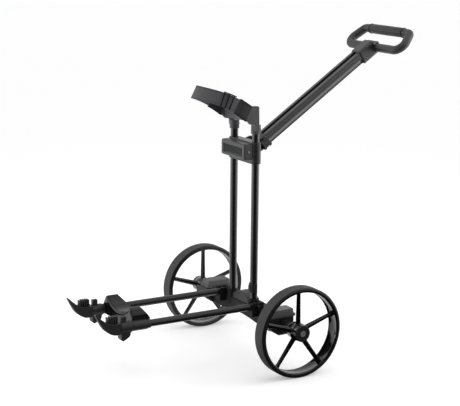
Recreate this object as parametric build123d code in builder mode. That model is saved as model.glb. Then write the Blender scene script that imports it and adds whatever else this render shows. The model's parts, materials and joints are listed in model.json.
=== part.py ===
"""Push trolley for a golf bag: every piece is its own solid, in millimetres.

X points to the trolley's left, Y to the rear (handle), Z up.
The origin is on the floor under the middle of the axle.
"""
from build123d import *
import math
import os

os.makedirs("parts", exist_ok=True)

# Clearances.
fit = 0.05
gap = 0.3

# Wheels.
wheel_r = 148.0
wheel_x = 310.0
tyre_w = 50.0
tyre_h = 11.0
rim_t = 3.0
hub_r = 27.0
hub_half = 26.0
cap_t = 4.0
seat_r = 16.0
bearing_w = 8.0
axle_r = 6.0
button_r = 9.7
button_travel = 3.0
spoke_count = 5

# Axle beam and the housings at its ends.
beam_half = 180.0
beam_front = -34.0
beam_rear = 30.0
beam_drop = 33.0
beam_rise = 27.0
carrier_w = 52.0
carrier_front = -60.0
carrier_rear = 36.0
sleeve_r = 17.0

# Mast.
mast_x = 68.0
mast_y = -19.0
mast_r = 12.5
mast_seat = 5.0
mast_top = 773.0
tube_wall = 1.5

# Lower frame.
lower_x = 106.0
lower_rise = 35.0
lower_r = 11.5
hinge_y = -36.0
tube_rear = -60.0
tube_front = -528.0
pin_r = 4.0
eye_w = 20.0

# Clamp and handle.
clamp_r = 17.0
clamp_bottom = 652.0
clamp_top = 723.0
pivot_y = 38.0
pivot_z = 711.0
handle_deg = 34.15
shaft_w = 45.0
shaft_h = 43.3
bolt_r = 5.0
loop_r = 14.5
loop_wall = 3.0

# Upper cradle.
strap_w = 46.0
strap_t = 4.0
ear_in = 76.0
ear_out = 84.0

# Heights that follow the axle.
axle_z = wheel_r
beam_bottom = axle_z - beam_drop
beam_top = axle_z + beam_rise
mast_foot = axle_z + mast_seat
lower_z = axle_z + lower_rise


def plane_x(x):
    """Plane across X: sketch in (y, z), extrude towards +X."""
    return Plane(origin=(x, 0, 0), x_dir=(0, 1, 0), z_dir=(1, 0, 0))


def plane_y(y):
    """Plane across Y: sketch in (x, z), extrude towards -Y."""
    return Plane(origin=(0, y, 0), x_dir=(1, 0, 0), z_dir=(0, -1, 0))


def rod_x(y, z, r, x0, x1, mode=Mode.ADD):
    with BuildSketch(plane_x(x0)) as disc:
        with Locations((y, z)):
            Circle(r)
    extrude(disc.sketch, amount=x1 - x0, mode=mode)


def rod_y(x, z, r, y0, y1, mode=Mode.ADD):
    """Rod from y0 forward to y1, with y1 below y0."""
    with BuildSketch(plane_y(y0)) as disc:
        with Locations((x, z)):
            Circle(r)
    extrude(disc.sketch, amount=y0 - y1, mode=mode)


def rod_z(x, y, r, z0, z1, mode=Mode.ADD):
    with BuildSketch(Plane.XY.offset(z0)) as disc:
        with Locations((x, y)):
            Circle(r)
    extrude(disc.sketch, amount=z1 - z0, mode=mode)


def block(x0, x1, y0, y1, z0, z1, mode=Mode.ADD):
    with Locations(((x0 + x1) / 2, (y0 + y1) / 2, (z0 + z1) / 2)):
        Box(x1 - x0, y1 - y0, z1 - z0, mode=mode)


def slab_x(points, x0, x1, mode=Mode.ADD):
    """Outline in (y, z) taken from x0 to x1."""
    with BuildSketch(plane_x(x0)) as outline:
        with BuildLine():
            Polyline(points, close=True)
        make_face()
    extrude(outline.sketch, amount=x1 - x0, mode=mode)


def save(piece, name):
    piece.label = name
    export_step(piece, "parts/" + name + ".step")


def save_pair(left, name):
    """Write the left piece and its mirror image."""
    save(left, name + "_left")
    with BuildPart() as right:
        mirror(left, about=Plane.YZ)
    save(right.part, name + "_right")


# Wheels
axle_line = Axis((0, 0, axle_z), (1, 0, 0))
rim_out = wheel_r - tyre_h
rim_in = rim_out - rim_t
hub_inner = wheel_x - hub_half
hub_outer = wheel_x + hub_half
inner_race = hub_inner + 2.0
outer_race = hub_outer - 18.0
axle_end = outer_race + bearing_w

with BuildPart() as tyre:
    with BuildSketch(Plane.XZ) as section:
        with Locations((wheel_x, axle_z + rim_out + tyre_h / 2)):
            Rectangle(tyre_w, tyre_h)
        fillet(section.vertices().group_by(Axis.Y)[-1], 5.0)
        with Locations((wheel_x, axle_z + wheel_r)):
            with GridLocations(tyre_w / 9, 1, 7, 1):
                Rectangle(1.6, 2.0, mode=Mode.SUBTRACT)
    revolve(axis=axle_line)
save_pair(tyre.part, "tyre")

with BuildPart() as rim:
    with BuildSketch(Plane.XZ):
        with Locations((wheel_x, axle_z + rim_out - rim_t / 2)):
            Rectangle(tyre_w - 1.0, rim_t)
        with Locations((wheel_x, axle_z + rim_in)):
            with GridLocations(tyre_w - 4.0, 1, 2, 1):
                Rectangle(3.0, 2.4)
        with Locations((wheel_x, axle_z + hub_r / 2)):
            Rectangle(2 * hub_half, hub_r)
    revolve(axis=axle_line)
    for width, depth in ((1.0, 10.0), (0.5, 17.0)):
        with BuildSketch(plane_x(wheel_x - depth / 2)) as arms:
            with Locations((0, axle_z)):
                with PolarLocations(0, spoke_count, start_angle=90):
                    Polygon(
                        (hub_r - 3, -9 * width), (rim_in + 1, -7.5 * width),
                        (rim_in + 1, 7.5 * width), (hub_r - 3, 9 * width), align=None)
        extrude(arms.sketch, amount=depth)
    rod_x(0, axle_z, seat_r, hub_inner - 1, inner_race + bearing_w, Mode.SUBTRACT)
    rod_x(0, axle_z, axle_r + 4, hub_inner, hub_outer, Mode.SUBTRACT)
    rod_x(0, axle_z, seat_r, outer_race, hub_outer + 1, Mode.SUBTRACT)
save_pair(rim.part, "rim")

with BuildPart() as hub_bearings:
    for start in (inner_race, outer_race):
        rod_x(0, axle_z, seat_r, start, start + bearing_w)
        rod_x(0, axle_z, axle_r + fit, start - 1, start + bearing_w + 1, Mode.SUBTRACT)
save_pair(hub_bearings.part, "hub_bearings")

with BuildPart() as hub_cap:
    rod_x(0, axle_z, hub_r, hub_outer, hub_outer + cap_t)
    fillet(hub_cap.edges().sort_by(Axis.X)[-1], 2.0)
    rod_x(0, axle_z, seat_r, hub_outer - 3, hub_outer)
    rod_x(0, axle_z, button_r + gap, hub_outer - 4, hub_outer + cap_t + 1, Mode.SUBTRACT)
save_pair(hub_cap.part, "hub_cap")

with BuildPart() as release_button:
    flange_end = hub_outer - 3 - gap
    rod_x(0, axle_z, button_r + 3, axle_end + button_travel + 0.7, flange_end)
    rod_x(0, axle_z, button_r, flange_end, hub_outer + cap_t + 1.5)
    fillet(release_button.edges().sort_by(Axis.X)[-1], 1.2)
save_pair(release_button.part, "release_button")

# Axle beam, housings and stub axles
pivot_half = eye_w / 2 + gap + 5.7
pivot_lo = lower_x - pivot_half
pivot_hi = lower_x + pivot_half
pivot_rear = hinge_y + 24.0
pivot_base = lower_z - 30.0
socket_r = mast_r + 6.0
beam_floor = mast_foot - 4.0
carrier_out = beam_half + carrier_w

with BuildPart() as axle_beam:
    slab_x([
        (beam_front, beam_top), (beam_front, beam_bottom + 12), (beam_front + 10, beam_bottom),
        (beam_rear - 12, beam_bottom), (beam_rear, beam_bottom + 14), (beam_rear, beam_top)],
        -beam_half, beam_half)
    fillet(axle_beam.edges().filter_by(Axis.X).group_by(Axis.Z)[-1], 4.0)
    with BuildSketch(plane_y(beam_rear + 1)) as arch:
        with BuildLine():
            foot = beam_half - 8
            ThreePointArc((-foot, beam_bottom), (0, beam_bottom + 20), (foot, beam_bottom))
            Polyline(
                (foot, beam_bottom), (foot, beam_bottom - 1), (-foot, beam_bottom - 1), (-foot, beam_bottom))
        make_face()
    extrude(arch.sketch, amount=beam_rear - beam_front + 2, mode=Mode.SUBTRACT)
    block(-beam_half + 6, beam_half - 6, beam_front + 14, beam_rear - 16,
          beam_bottom - 1, beam_floor, Mode.SUBTRACT)
    block(-mast_x + 26, mast_x - 26, beam_front + 14, beam_rear - 16,
          beam_floor - 1, beam_top - 6, Mode.SUBTRACT)
    for side in (-1, 1):
        rod_z(side * mast_x, mast_y, socket_r, beam_floor, beam_top + 23)
        rod_z(side * mast_x, mast_y, mast_r, mast_foot, beam_top + 24, Mode.SUBTRACT)
        block(side * lower_x - pivot_half, side * lower_x + pivot_half, beam_front - 10,
              pivot_rear, pivot_base, beam_top + 30, Mode.SUBTRACT)
save(axle_beam.part, "axle_beam")

with BuildPart() as centre_cover:
    half = mast_x - socket_r - 1.5
    with BuildSketch(plane_y(beam_rear - 16)):
        with BuildLine():
            Polyline((-half, beam_top + 16), (-half, beam_top), (half, beam_top), (half, beam_top + 16))
            ThreePointArc((half, beam_top + 16), (0, beam_top + 32), (-half, beam_top + 16))
        make_face()
    extrude(amount=beam_rear - 20 - beam_front)
    fillet(centre_cover.faces().sort_by(Axis.Z)[-1].edges(), 4.0)
    block(-half + 4, half - 4, beam_front + 8, beam_rear - 20, beam_top - 1, beam_top + 10, Mode.SUBTRACT)
save(centre_cover.part, "centre_cover")

with BuildPart() as carrier:
    slab_x([
        (carrier_front, beam_top), (carrier_front, axle_z - 5), (-22, axle_z - 32), (22, axle_z - 31),
        (carrier_rear, axle_z - 5), (carrier_rear, beam_top)], beam_half, carrier_out)
    rod_x(0, axle_z, beam_drop - 3, beam_half, carrier_out)
    block(beam_half - 1, carrier_out + 1, carrier_front - 9, carrier_rear + 9,
          beam_top, beam_top + beam_drop, Mode.SUBTRACT)
    fillet(carrier.edges().filter_by(Axis.X).group_by(Axis.Y)[0], 5.0)
    block(beam_half + 6, carrier_out - 10, carrier_front + 6, carrier_rear - 6,
          axle_z + axle_r + 8, beam_top + 1, Mode.SUBTRACT)
    with BuildSketch(plane_x(carrier_out - 4)):
        with Locations((10, axle_z + 13)):
            Rectangle(58, 24)
        with Locations((0, axle_z)):
            Circle(sleeve_r + 3, mode=Mode.SUBTRACT)
    extrude(amount=5, mode=Mode.SUBTRACT)
    rod_x(0, axle_z, axle_r, beam_half + 5, carrier_out + 3, Mode.SUBTRACT)
save_pair(carrier.part, "carrier")

with BuildPart() as bonnet:
    block(beam_half, carrier_out + 2, carrier_front + 7, carrier_rear + 5, beam_top, beam_top + 8)
    fillet(bonnet.edges().filter_by(Axis.Z), 5.0)
    with BuildSketch(Plane.XY.offset(beam_top + 7)):
        with Locations((beam_half + carrier_w / 2, (carrier_front + carrier_rear) / 2 + 6)):
            RectangleRounded(carrier_w - 2, carrier_rear - carrier_front - 8, 8)
    extrude(amount=17, taper=8)
    fillet(bonnet.faces().sort_by(Axis.Z)[-1].edges(), 4.0)
    block(beam_half + 8, carrier_out - 10, carrier_front + 16, carrier_rear - 8,
          beam_top - 1, beam_top + 16, Mode.SUBTRACT)
save_pair(bonnet.part, "bonnet")

with BuildPart() as stub_axle:
    rod_x(0, axle_z, axle_r, beam_half + 5, axle_end)
    chamfer(stub_axle.edges().sort_by(Axis.X)[-1], 1.0)
save_pair(stub_axle.part, "stub_axle")

with BuildPart() as axle_sleeve:
    rod_x(0, axle_z, sleeve_r, carrier_out, hub_inner - 2)
    fillet(axle_sleeve.edges().sort_by(Axis.X)[-1], 3.0)
    for start in (12.0, 20.0, 28.0):
        with BuildSketch(plane_x(carrier_out + start)):
            with Locations((0, axle_z)):
                Circle(sleeve_r + 1)
                Circle(sleeve_r - 1.5, mode=Mode.SUBTRACT)
        extrude(amount=4.0, mode=Mode.SUBTRACT)
    rod_x(0, axle_z, axle_r, carrier_out - 1, hub_inner, Mode.SUBTRACT)
save_pair(axle_sleeve.part, "axle_sleeve")

# Mast
with BuildPart() as main_tube:
    rod_z(mast_x, mast_y, mast_r, mast_foot, mast_top)
    rod_z(mast_x, mast_y, mast_r - tube_wall, mast_foot - 1, mast_top + 1, Mode.SUBTRACT)
save_pair(main_tube.part, "main_tube")

with BuildPart() as fold_clip:
    rod_z(mast_x, mast_y, mast_r + 4, beam_top + 46, beam_top + 76)
    block(mast_x - 5, mast_x + 5, mast_y - mast_r - 6, mast_y, beam_top + 52, beam_top + 70)
    rod_z(mast_x, mast_y, mast_r, beam_top + 45, beam_top + 77, Mode.SUBTRACT)
    block(mast_x - 20, mast_x + 20, mast_y + 4, mast_y + 30, beam_top + 45, beam_top + 77, Mode.SUBTRACT)
save(fold_clip.part, "fold_clip")

clamp_front = mast_y - clamp_r
clamp_rear = mast_y + clamp_r
cover_front = clamp_front - 30.0
cover_lo = clamp_bottom + 15.0
cover_hi = clamp_top - 4.0
cover_half = mast_x + 7.0

with BuildPart() as clamp_body:
    with BuildSketch(Plane.XY.offset(clamp_bottom)):
        with Locations((0, mast_y)):
            SlotCenterToCenter(2 * mast_x, 2 * clamp_r)
    extrude(amount=clamp_top - clamp_bottom)
    fillet(clamp_body.edges().group_by(Axis.Z)[-1], 2.5)
    fillet(clamp_body.edges().group_by(Axis.Z)[0], 2.5)
    for side in (-1, 1):
        rod_z(side * mast_x, mast_y, mast_r, clamp_bottom - 1, clamp_top + 1, Mode.SUBTRACT)
    block(-mast_x + 20, mast_x - 20, clamp_front - 1, clamp_rear - 8,
          cover_lo + 6, cover_hi - 6, Mode.SUBTRACT)
save(clamp_body.part, "clamp_body")

panel_w = 110.0
panel_h = 22.0
panel_gap = 4.0
panel_d = 3.4
panel_z = (cover_lo + cover_hi) / 2 - 1.0
screw_y = clamp_front - 13.0

with BuildPart() as front_cover:
    block(-cover_half, cover_half, cover_front, clamp_front, cover_lo, cover_hi)
    fillet(front_cover.edges().filter_by(Axis.Y), 8.0)
    fillet(front_cover.edges().group_by(Axis.Y)[0], 5.0)
    block(-cover_half + 24, cover_half - 24, cover_front + 5, clamp_front + 1,
          cover_lo + 6, cover_hi - 6, Mode.SUBTRACT)
    block(-panel_w / 2 - panel_gap, panel_w / 2 + panel_gap, cover_front - 1, cover_front + panel_d,
          panel_z - panel_h / 2 - panel_gap, panel_z + panel_h / 2 + panel_gap, Mode.SUBTRACT)
    rod_x(screw_y, panel_z, 2.5, -cover_half - 1, -cover_half + 14, Mode.SUBTRACT)
    rod_x(screw_y, panel_z, 2.5, cover_half - 14, cover_half + 1, Mode.SUBTRACT)
save(front_cover.part, "front_cover")

with BuildPart() as name_panel:
    block(-panel_w / 2, panel_w / 2, cover_front + 0.6, cover_front + panel_d,
          panel_z - panel_h / 2, panel_z + panel_h / 2)
    fillet(name_panel.edges().filter_by(Axis.Y), 2.0)
save(name_panel.part, "name_panel")

with BuildPart() as clamp_screws:
    for side in (-1, 1):
        rod_x(screw_y, panel_z, 2.5, side * (cover_half - 14), side * cover_half)
        rod_x(screw_y, panel_z, 4.5, side * cover_half, side * (cover_half + 2.2))
save(clamp_screws.part, "clamp_screws")

# Handle bracket and its bolt
cheek_in = shaft_w / 2 + 0.5
cheek_out = cheek_in + 9.0

with BuildPart() as handle_bracket:
    block(-cheek_out, cheek_out, clamp_rear, clamp_rear + 7, clamp_bottom + 27, clamp_top - 2)
    for side in (-1, 1):
        slab_x([
            (clamp_rear, clamp_bottom + 27), (clamp_rear + 14, clamp_bottom + 27),
            (pivot_y + 6, pivot_z - 17), (pivot_y + 14, pivot_z - 8), (pivot_y + 14, pivot_z + 6),
            (pivot_y + 6, pivot_z + 16), (clamp_rear + 18, clamp_top + 4), (clamp_rear, clamp_top - 2)],
            side * cheek_in, side * cheek_out)
    fillet(handle_bracket.edges().filter_by(Axis.X).group_by(Axis.Y)[-1], 5.0)
    rod_x(pivot_y, pivot_z, bolt_r, -cheek_out - 1, cheek_out + 1, Mode.SUBTRACT)
save(handle_bracket.part, "handle_bracket")

knob_in = cheek_out + gap
knob_out = knob_in + 11.0

with BuildPart() as handle_pivot_bolt:
    rod_x(pivot_y, pivot_z, bolt_r, -cheek_out, knob_out - 4)
    with BuildSketch(plane_x(-cheek_out - 6)) as head:
        with Locations((pivot_y, pivot_z)):
            RegularPolygon(10.0, 6)
    extrude(head.sketch, amount=6)
save(handle_pivot_bolt.part, "handle_pivot_bolt")

with BuildPart() as handle_knob:
    with BuildSketch(plane_x(knob_in)):
        with Locations((pivot_y, pivot_z)):
            Circle(14.5)
            with PolarLocations(15.5, 4, start_angle=80):
                Circle(6.5)
    extrude(amount=knob_out - knob_in)
    fillet(handle_knob.edges().group_by(Axis.X)[-1], 2.0)
    rod_x(pivot_y, pivot_z, bolt_r + fit, knob_in - 1, knob_out - 4 + gap, Mode.SUBTRACT)
save(handle_knob.part, "handle_knob")

# Handle, drawn along the shaft from its pivot
turn = math.radians(handle_deg)
along = Vector(0, math.cos(turn), math.sin(turn))
across = Vector(0, -math.sin(turn), math.cos(turn))
pivot = Vector(0, pivot_y, pivot_z)
shaft_start = 22.0
groove_d = 1.2
shaft_top = 17.5
side_h = 22.5
channel_w = 17.0
channel_d = 8.0
keel_w = 19.6
keel_h = 5.7
shaft_wall = 3.0
shank_h = 33.0
base_d = 534.0
base_n = -9.0
loop_depth = 81.0
base_half = 163.0
grip_half = 125.0
grip_d = base_d + loop_depth
bend_r = 0.36 * loop_depth
grip_bend = 0.2 * loop_depth
block_start = base_d - 68.0
shaft_end = base_d - 46.0


def shaft_plane(d, n=0.0):
    """Plane square to the shaft at distance d from the pivot: sketch in (-x, n)."""
    return Plane(origin=pivot + along * d + across * n, x_dir=(-1, 0, 0), z_dir=along)


def mirrored(points):
    """Closed outline from the points of its right half, top first."""
    return points + [(-x, n) for x, n in reversed(points)]


side_lo = shaft_top - side_h
keel_lo = shaft_top - shaft_h
keel_top = keel_lo + keel_h
shaft_outline = mirrored([
    (shaft_w / 2, shaft_top), (shaft_w / 2, side_lo), (keel_w / 2, keel_top), (keel_w / 2, keel_lo)])
core_half = shaft_w / 2 - shaft_wall
core_lo = keel_top + 0.43 * shaft_wall
shaft_core = mirrored([
    (core_half, shaft_top - channel_d - shaft_wall), (core_half, side_lo + 0.37 * shaft_wall),
    (keel_w / 2 - 0.93 * shaft_wall, core_lo)])

loop_run = along * loop_depth - across * base_n
loop_len = loop_run.length
loop_out = loop_run.normalized()
loop_plane = Plane(
    origin=pivot + along * base_d + across * base_n,
    x_dir=(1, 0, 0), z_dir=Vector(1, 0, 0).cross(loop_out))

with BuildPart() as handle_loop:
    with BuildLine(loop_plane) as path:
        FilletPolyline(
            (0, 0), (base_half, 0), (grip_half, loop_len), (0, loop_len), radius=(bend_r, grip_bend))
    with BuildSketch(Plane(origin=path.line @ 0, x_dir=loop_out, z_dir=(1, 0, 0))) as bar:
        Circle(loop_r)
        Circle(loop_r - loop_wall, mode=Mode.SUBTRACT)
    sweep(bar.sketch, path=path.line)
    mirror(about=Plane.YZ)
    with BuildSketch(Plane(origin=loop_plane.origin, x_dir=(1, 0, 0), z_dir=-along)) as screw_hole:
        Circle(2.5)
    extrude(screw_hole.sketch, amount=loop_r + 1, mode=Mode.SUBTRACT)
save(handle_loop.part, "handle_loop")

with BuildPart() as handle_shaft:
    with BuildSketch(shaft_plane(shaft_start)) as profile:
        Polygon(*shaft_outline, align=None)
        fillet(profile.vertices().group_by(Axis.Y)[-1], 2)
        with Locations((0, shaft_top)):
            Rectangle(channel_w, 2 * channel_d, mode=Mode.SUBTRACT)
        with Locations((0, shaft_top - 10)):
            with GridLocations(shaft_w, 9, 2, 2):
                Rectangle(2 * groove_d, 3.0, mode=Mode.SUBTRACT)
        Polygon(*shaft_core, align=None, mode=Mode.SUBTRACT)
    extrude(amount=shaft_end - shaft_start)
save(handle_shaft.part, "handle_shaft")

with BuildPart() as shaft_knuckle:
    rod_x(pivot_y, pivot_z, 16.0, -cheek_in + 0.5, cheek_in - 0.5)
    with BuildSketch(shaft_plane(0)) as shank:
        Rectangle(shaft_w, shank_h)
    extrude(shank.sketch, amount=shaft_start)
    with BuildSketch(shaft_plane(shaft_start)) as plug:
        Polygon(*shaft_core, align=None)
    extrude(plug.sketch, amount=40)
    rod_x(pivot_y, pivot_z, bolt_r + fit, -shaft_w, shaft_w, Mode.SUBTRACT)
save(shaft_knuckle.part, "shaft_knuckle")

base_at = pivot + along * base_d + across * base_n

with BuildPart() as handle_block:
    with BuildSketch(shaft_plane(block_start, -3)) as housing:
        RectangleRounded(shaft_w + 7, shaft_h + 8, 10)
    extrude(housing.sketch, amount=base_d - block_start - 4)
    fillet(handle_block.faces().sort_by(Axis((0, 0, 0), along))[0].edges(), 4.0)
    with BuildSketch(shaft_plane(block_start - 1)) as bore:
        Polygon(*shaft_outline, align=None)
        fillet(bore.vertices().group_by(Axis.Y)[-1], 2)
    extrude(bore.sketch, amount=shaft_end - block_start + 1, mode=Mode.SUBTRACT)
    rod_x(base_at.Y, base_at.Z, loop_r, -shaft_w, shaft_w, Mode.SUBTRACT)
save(handle_block.part, "handle_block")

grip_end = grip_half - 0.4 * loop_depth
grip_at = pivot + along * grip_d

with BuildPart() as grip:
    rod_x(grip_at.Y, grip_at.Z, loop_r + 2.0, -grip_end, grip_end)
    for side in (-1, 1):
        rod_x(grip_at.Y, grip_at.Z, loop_r + 3.0, side * (grip_end - 5), side * grip_end)
    rod_x(grip_at.Y, grip_at.Z, loop_r, -grip_end - 1, grip_end + 1, Mode.SUBTRACT)
save(grip.part, "grip")

with BuildPart() as grip_panel:
    with BuildSketch(shaft_plane(base_d - 10, base_n + loop_r - 1)) as plate:
        Rectangle(62, 6)
    extrude(plate.sketch, amount=24)
    fillet(grip_panel.edges().filter_by(lambda e: abs(e.length - 6) < 0.01), 2.5)
    rod_x(base_at.Y, base_at.Z, loop_r, -shaft_w, shaft_w, Mode.SUBTRACT)
    add(handle_block.part, mode=Mode.SUBTRACT)
save(grip_panel.part, "grip_panel")

# Upper cradle with its strap
socket_lo = mast_top - 22.0
socket_hi = mast_top + 6.0
rest_r = 117.0
rest_y = mast_y - 2.0 - rest_r
rest_lo = mast_top + 11.0
rest_hi = mast_top + 68.0


def rest_band(r_in, r_out, z0, z1):
    """Curved plate between the two ears."""
    with BuildSketch(Plane.XY.offset(z0)) as band:
        with Locations((0, rest_y)):
            Circle(r_out)
            Circle(r_in, mode=Mode.SUBTRACT)
        with Locations((0, mast_y - 16)):
            Rectangle(2 * ear_in, 60, mode=Mode.INTERSECT)
    extrude(band.sketch, amount=z1 - z0)


with BuildPart() as cradle_yoke:
    for side in (-1, 1):
        rod_z(side * mast_x, mast_y, mast_r + 3.5, socket_lo, socket_hi)
        with BuildSketch(plane_x(side * ear_in)) as ear:
            with BuildLine():
                Polyline(
                    (mast_y - 28, mast_top + 71), (mast_y + 2, mast_top + 69), (mast_y + 4, mast_top - 12),
                    (mast_y - 11, mast_top - 12), (mast_y - 14, mast_top + 9), (mast_y - 31, mast_top + 12),
                    (mast_y - 46, mast_top + 28), close=True)
            make_face()
            fillet(ear.vertices().sort_by(Axis.Y)[-2:], 5.0)
        extrude(ear.sketch, amount=side * (ear_out - ear_in))
    rest_band(rest_r, rest_r + 5, rest_lo, rest_hi)
    for side in (-1, 1):
        rod_z(side * mast_x, mast_y, mast_r, socket_lo - 1, mast_top, Mode.SUBTRACT)
        rod_y(side * mast_x, socket_lo + 14, 2.5, mast_y + mast_r + 4, mast_y, Mode.SUBTRACT)
save(cradle_yoke.part, "cradle_yoke")

with BuildPart() as cradle_pad:
    rest_band(rest_r - 5, rest_r, rest_lo + 2, rest_hi - 2)
save(cradle_pad.part, "cradle_pad")

with BuildPart() as yoke_screws:
    for side in (-1, 1):
        rod_y(side * mast_x, socket_lo + 14, 2.5, mast_y + mast_r + 3.5, mast_y + mast_r + 0.2)
        rod_y(side * mast_x, socket_lo + 14, 4.5, mast_y + mast_r + 6, mast_y + mast_r + 3.5)
save(yoke_screws.part, "yoke_screws")

ear_mid = (ear_in + ear_out) / 2
loop_half = ear_mid + 4.0
lean = math.radians(28.0)
strap_plane = Plane(
    origin=(0, mast_y - 35.5, mast_top + 46), x_dir=(1, 0, 0), z_dir=(0, math.sin(lean), math.cos(lean)))
mount_reach = 50.6
ring_reach = 74.6
bow_y = mast_y - 272.0
bow_z = mast_top - 267.5
bow_r = 392.6


def bow(width):
    """Keep what lies in the arched band that the strap follows, seen from the side."""
    with BuildSketch(plane_x(-2 * loop_half)) as band:
        with Locations((bow_y, bow_z)):
            Circle(bow_r + width / 2)
            Circle(bow_r - width / 2, mode=Mode.SUBTRACT)
    extrude(band.sketch, amount=4 * loop_half, mode=Mode.INTERSECT)


with BuildPart() as strap_mount:
    with BuildSketch(strap_plane):
        with BuildLine():
            Polyline(
                (ear_mid - 5, -0.5), (ear_mid + 5, -0.5), (loop_half + 5.5, -mount_reach),
                (loop_half - 5.5, -mount_reach), close=True)
        make_face()
    extrude(amount=2 * strap_w, both=True)
    bow(strap_w + 1)
    add(cradle_yoke.part, mode=Mode.SUBTRACT)
    add(cradle_pad.part, mode=Mode.SUBTRACT)
save_pair(strap_mount.part, "strap_mount")

with BuildPart() as bag_strap:
    with BuildSketch(strap_plane):
        for r, mode in ((loop_half + strap_t / 2, Mode.ADD), (loop_half - strap_t / 2, Mode.SUBTRACT)):
            with Locations((0, -ring_reach)):
                Circle(r, mode=mode)
            with Locations((0, loop_half / 2 - ring_reach)):
                Rectangle(2 * r, loop_half, mode=mode)
        with Locations((0, loop_half - mount_reach)):
            Rectangle(4 * loop_half, 2 * loop_half, mode=Mode.SUBTRACT)
    extrude(amount=2 * strap_w, both=True)
    bow(strap_w - 1)
save(bag_strap.part, "bag_strap")

with BuildPart() as strap_buckle:
    buckle_in = loop_half + strap_t / 2
    with BuildSketch(strap_plane):
        with Locations((0, -ring_reach)):
            Circle(buckle_in + 6)
            Circle(buckle_in, mode=Mode.SUBTRACT)
            Polygon(
                (0, 0), (3 * buckle_in, 0), (3 * buckle_in, -1.6 * buckle_in), align=None, mode=Mode.INTERSECT)
        for bar_angle in (4.0, 14.0, 24.0):
            with Locations((0, -ring_reach)):
                with PolarLocations(buckle_in + 6.5, 1, start_angle=-bar_angle):
                    Rectangle(5, 3.6)
    extrude(amount=2 * strap_w, both=True)
    bow(strap_w + 5)
save(strap_buckle.part, "strap_buckle")

# Lower frame: hinge blocks, tubes, sleeves and saddle
with BuildPart() as pivot_block:
    block(pivot_lo, pivot_hi, tube_rear + 4, pivot_rear, pivot_base, lower_z + 15)
    block(lower_x - eye_w / 2 - gap, lower_x + eye_w / 2 + gap, tube_rear, pivot_rear - 8,
          lower_z - lower_r - gap, lower_z + 20, Mode.SUBTRACT)
    rod_x(hinge_y, lower_z, pin_r, pivot_lo - 1, pivot_hi + 1, Mode.SUBTRACT)
    fillet(pivot_block.edges().filter_by(Axis.X).group_by(Axis.Y)[0].group_by(Axis.Z)[-1], 6.0)
save_pair(pivot_block.part, "pivot_block")

with BuildPart() as pivot_pins:
    for side in (-1, 1):
        rod_x(hinge_y, lower_z, pin_r, side * pivot_lo, side * pivot_hi)
        rod_x(hinge_y, lower_z, pin_r + 2, side * (pivot_lo - 2.5), side * pivot_lo)
        rod_x(hinge_y, lower_z, pin_r + 3, side * pivot_hi, side * (pivot_hi + 3))
save(pivot_pins.part, "pivot_pins")

with BuildPart() as lower_tube:
    rod_y(lower_x, lower_z, lower_r, tube_rear, tube_front)
    rod_y(lower_x, lower_z, lower_r - tube_wall, tube_rear + 1, tube_front - 1, Mode.SUBTRACT)
save_pair(lower_tube.part, "lower_tube")

with BuildPart() as tube_eye:
    rod_x(hinge_y, lower_z, lower_r, lower_x - eye_w / 2, lower_x + eye_w / 2)
    block(lower_x - eye_w / 2, lower_x + eye_w / 2, tube_rear, hinge_y,
          lower_z - lower_r + 2, lower_z + lower_r - 2)
    rod_y(lower_x, lower_z, lower_r - tube_wall, tube_rear, tube_rear - 26)
    rod_x(hinge_y, lower_z, pin_r + fit, lower_x - eye_w, lower_x + eye_w, Mode.SUBTRACT)
save_pair(tube_eye.part, "tube_eye")

sleeve_front = tube_front + 38.0
sleeve_rear = sleeve_front + 53.0
collar_r = lower_r + 5.0

with BuildPart() as sleeve:
    rod_y(lower_x, lower_z, collar_r, sleeve_rear, sleeve_front)
    fillet(sleeve.edges().sort_by(Axis.Y)[0], 2.0)
    rod_y(lower_x, lower_z, collar_r - 2, sleeve_rear + 12, sleeve_rear)
    rod_y(lower_x, lower_z, lower_r, sleeve_rear + 13, sleeve_front - 1, Mode.SUBTRACT)
save_pair(sleeve.part, "sleeve")

saddle_front = sleeve_front + 4.0
saddle_rear = saddle_front + 70.0
saddle_z = lower_z + 18.0
saddle_half = 80.0
saddle_rise = 33.0
boss_half = saddle_half + 11.0

with BuildPart() as saddle:
    with BuildSketch(plane_y(saddle_rear)):
        with BuildLine():
            rise = saddle_z + saddle_rise
            ThreePointArc((-saddle_half, rise), (0, saddle_z), (saddle_half, rise))
            Polyline(
                (saddle_half, rise), (boss_half, rise - 3), (lower_x - 3, saddle_z + 14),
                (lower_x, lower_z), (lower_x - 8, lower_z - 12), (-lower_x + 8, lower_z - 12),
                (-lower_x, lower_z), (-lower_x + 3, saddle_z + 14), (-boss_half, rise - 3),
                (-saddle_half, rise))
        make_face()
    extrude(amount=saddle_rear - saddle_front)
    slab_x([
        (saddle_front + 36, rise + 4), (saddle_rear - 13, saddle_z + 10), (saddle_rear + 1, lower_z + 8),
        (saddle_rear + 1, rise + 4)], -lower_x, lower_x, Mode.SUBTRACT)
    fillet(saddle.edges().group_by(Axis.Y)[0].sort_by(Axis.Z)[-5:], 9.0)
    for side in (-1, 1):
        rod_y(side * lower_x, lower_z, collar_r, saddle_rear + 1, saddle_front - 1, Mode.SUBTRACT)
    block(-saddle_half + 6, saddle_half - 6, saddle_front + 10, saddle_rear - 10,
          lower_z - 20, saddle_z - 7, Mode.SUBTRACT)
save(saddle.part, "saddle")

# Claws that turn on the tube ends
cuff_rear = sleeve_front - 1.0
cuff_front = tube_front - 1.0

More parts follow.
